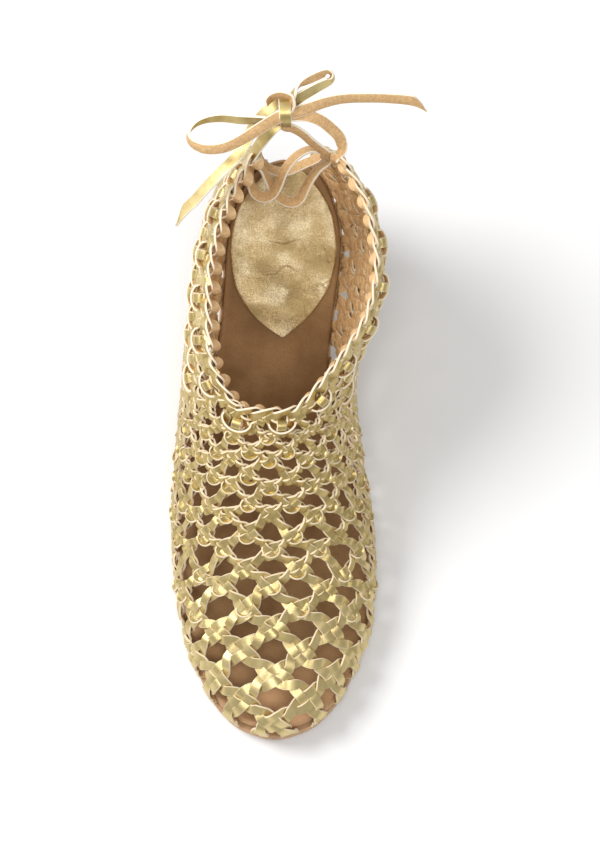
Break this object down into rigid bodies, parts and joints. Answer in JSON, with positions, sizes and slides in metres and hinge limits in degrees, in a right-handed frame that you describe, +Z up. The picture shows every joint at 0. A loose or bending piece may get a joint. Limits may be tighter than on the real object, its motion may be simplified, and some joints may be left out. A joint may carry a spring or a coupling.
{
  "type": "heeled boot",
  "caption": "Right-foot ankle boot with an open net upper of knotted gilt leather strips, a laced open back, a leather footbed and a stacked block heel.",
  "frame": {"origin": "on the floor under the middle of the forefoot's flat tread", "axes": "+Z up, -Y towards the toe, +X towards the medial side of the right foot"},
  "size_m": [0.1093, 0.2466, 0.1708],
  "materials": {
    "sole_leather": "smooth tan sole leather",
    "heel_leather": "stacked leather, polished edge",
    "lift_rubber": "matte",
    "footbed_leather": "brown lining leather",
    "gilt_pad": "gilt leather, lightly worn",
    "gilt_strip": "gilt leather strips with pale cut edges"
  },
  "bodies": {
    "root": {"outsole": "sole_leather", "heel_block": "heel_leather", "top_lift": "lift_rubber", "footbed": "footbed_leather", "heel_pad": "gilt_pad", "upper": "gilt_strip", "lace_crossing": "gilt_strip", "lace_bar_low": "gilt_strip", "lace_rise_lateral": "gilt_strip", "lace_rise_medial": "gilt_strip", "bow_knot": "gilt_strip", "bow_loop_lateral": "gilt_strip", "bow_loop_medial": "gilt_strip", "bow_tail_lateral": "gilt_strip", "bow_tail_medial": "gilt_strip"}
  },
  "joints": []
}
